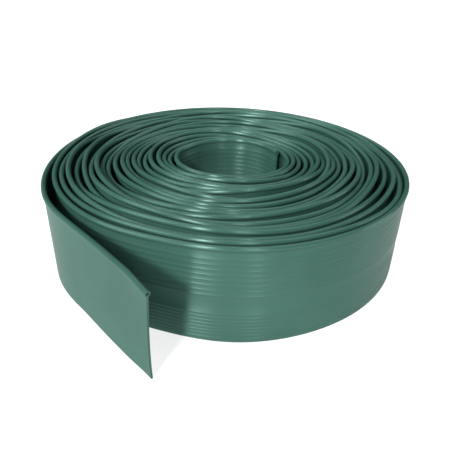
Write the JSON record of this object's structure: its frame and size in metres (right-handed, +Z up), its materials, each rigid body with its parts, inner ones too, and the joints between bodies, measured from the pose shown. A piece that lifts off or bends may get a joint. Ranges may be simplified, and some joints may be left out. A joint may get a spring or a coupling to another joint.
{
  "type": "rolled lawn edging strip",
  "caption": "Flat plastic edging strip with a hollow round bead along its top edge, wound on edge into a hollow-centred spiral roll with its free outer end peeled away.",
  "frame": {"origin": "where the roll's axis meets the surface it stands on", "axes": "+Z up along the roll's axis; the free end comes round to the -X, -Y side"},
  "size_m": [0.3838, 0.4332, 0.1],
  "materials": {
    "strip_plastic": "satin green extruded polyethylene"
  },
  "bodies": {
    "roll": {"inner_bend": "strip_plastic", "turn_01": "strip_plastic", "turn_02": "strip_plastic", "turn_03": "strip_plastic", "turn_04": "strip_plastic", "turn_05": "strip_plastic", "turn_06": "strip_plastic", "turn_07": "strip_plastic", "turn_08": "strip_plastic", "turn_09": "strip_plastic", "turn_10": "strip_plastic", "turn_11": "strip_plastic", "turn_12": "strip_plastic", "turn_13": "strip_plastic", "turn_14": "strip_plastic", "turn_15": "strip_plastic", "turn_16": "strip_plastic", "turn_17": "strip_plastic", "turn_18": "strip_plastic", "turn_19": "strip_plastic", "turn_20": "strip_plastic"},
    "inner_tip": {"inner_end": "strip_plastic"},
    "tail_1": {"free_end_1": "strip_plastic"},
    "tail_2": {"free_end_2": "strip_plastic"},
    "tail_3": {"free_end_3": "strip_plastic"},
    "tail_4": {"free_end_4": "strip_plastic"},
    "tail_5": {"free_end_5": "strip_plastic"}
  },
  "joints": [
    {"name": "peel_1", "type": "hinge", "parent": "roll", "child": "tail_1", "pos_m": [-0.13191, 0.13545, 0.05], "axis": [0, 0, 1], "range_deg": [-20, 0], "stiffness_Nm_per_rad": 0.2},
    {"name": "peel_2", "type": "hinge", "parent": "tail_1", "child": "tail_2", "pos_m": [-0.1845, 0.0483, 0.05], "axis": [0, 0, 1], "range_deg": [-20, 0], "stiffness_Nm_per_rad": 0.2},
    {"name": "peel_3", "type": "hinge", "parent": "tail_2", "child": "tail_3", "pos_m": [-0.18764, -0.05344, 0.05], "axis": [0, 0, 1], "range_deg": [-20, 0], "stiffness_Nm_per_rad": 0.2},
    {"name": "curl_1", "type": "hinge", "parent": "tail_3", "child": "tail_4", "pos_m": [-0.14055, -0.14367, 0.05], "axis": [0, 0, 1], "range_deg": [-10, 14], "stiffness_Nm_per_rad": 0.2},
    {"name": "curl_2", "type": "hinge", "parent": "tail_4", "child": "tail_5", "pos_m": [-0.09653, -0.19217, 0.05], "axis": [0, 0, 1], "range_deg": [-10, 14], "stiffness_Nm_per_rad": 0.2},
    {"name": "inner_curl", "type": "hinge", "parent": "roll", "child": "inner_tip", "pos_m": [0.01146, 0.04852, 0.05], "axis": [0, 0, 1], "range_deg": [-25, 0], "stiffness_Nm_per_rad": 0.2}
  ],
  "couplings": [
    {"joint": "peel_2", "follows": "peel_1", "ratio": 1},
    {"joint": "peel_3", "follows": "peel_1", "ratio": 1},
    {"joint": "curl_2", "follows": "curl_1", "ratio": 1}
  ]
}
